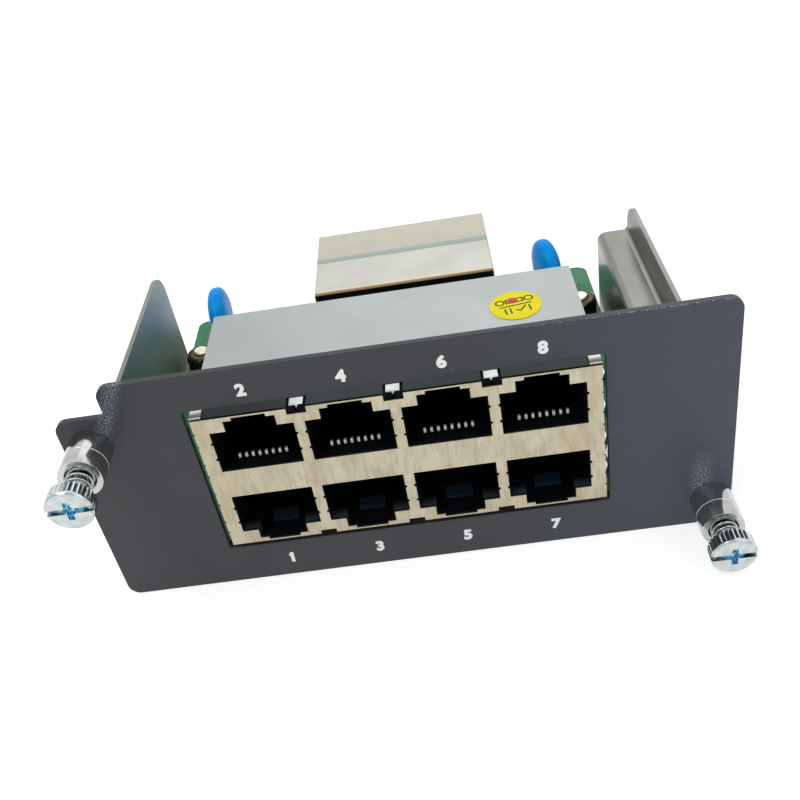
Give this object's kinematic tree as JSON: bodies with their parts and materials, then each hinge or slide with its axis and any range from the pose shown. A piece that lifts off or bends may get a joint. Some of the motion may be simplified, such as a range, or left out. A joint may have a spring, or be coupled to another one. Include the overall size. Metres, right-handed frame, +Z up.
{
  "type": "switch line card",
  "caption": "Plug-in network switch card: front panel with stacked modular jacks, folded steel tray, circuit board, rear backplane connector and captive thumbscrews.",
  "frame": {"origin": "on the base plane, at the middle of the front panel's width, on the panel's rear (seating) face", "axes": "+X to the right along the panel, +Y back into the chassis, +Z up"},
  "size_m": [0.0982, 0.0895, 0.0415],
  "materials": {
    "panel_paint": "matt, fine texture",
    "galvanised_steel": "galvanised, satin",
    "board_green": "solder resist, semi-gloss",
    "plated_steel": "tin plated, satin",
    "dark_steel": "blackened, satin",
    "tinned_shield": "bright tin plate",
    "black_plastic": "moulded, matt",
    "gold_contacts": "gold plated, bright",
    "beige_plastic": "moulded, satin",
    "chip_black": "moulded, matt",
    "sticker_yellow": "printed paper",
    "capacitor_blue": "dipped resin, glossy",
    "nickel_plate": "nickel plated, bright",
    "spring_steel": "drawn wire, bright"
  },
  "bodies": {
    "card": {"front_panel": "panel_paint", "tray_chassis": "galvanised_steel", "circuit_board": "board_green", "board_studs": "plated_steel", "board_spacers": "plated_steel", "board_nuts": "dark_steel", "jack_shield": "tinned_shield", "jack_housing": "black_plastic", "upper_port_contacts": "gold_contacts", "lower_port_contacts": "gold_contacts", "shield_dividers": "tinned_shield", "backplane_connector_housing": "beige_plastic", "backplane_connector_plate": "plated_steel", "backplane_connector_pins": "gold_contacts", "interface_chip": "chip_black", "line_transformers": "chip_black", "inspection_sticker": "sticker_yellow", "left_capacitor": "capacitor_blue", "left_capacitor_leads": "plated_steel", "right_capacitor": "capacitor_blue", "right_capacitor_leads": "plated_steel", "left_retainer": "nickel_plate", "right_retainer": "nickel_plate"},
    "left_spring_body": {"left_spring": "spring_steel"},
    "left_screw": {"left_thumbscrew": "nickel_plate"},
    "right_spring_body": {"right_spring": "spring_steel"},
    "right_screw": {"right_thumbscrew": "nickel_plate"}
  },
  "joints": [
    {"name": "left_screw_press", "type": "slide", "parent": "card", "child": "left_spring_body", "axis": [0, 1, 0], "range_m": [0, 0.00405], "stiffness_N_per_m": 500, "springref_m": -0.002, "deforming": ["left_spring"]},
    {"name": "left_screw_turn", "type": "hinge", "parent": "left_spring_body", "child": "left_screw", "pos_m": [-0.0448, -0.013, 0.0313], "axis": [0, 1, 0], "continuous": true},
    {"name": "right_screw_press", "type": "slide", "parent": "card", "child": "right_spring_body", "axis": [0, 1, 0], "range_m": [0, 0.0032], "stiffness_N_per_m": 500, "springref_m": -0.002, "deforming": ["right_spring"]},
    {"name": "right_screw_turn", "type": "hinge", "parent": "right_spring_body", "child": "right_screw", "pos_m": [0.0458, -0.013, 0.0051], "axis": [0, 1, 0], "continuous": true}
  ]
}
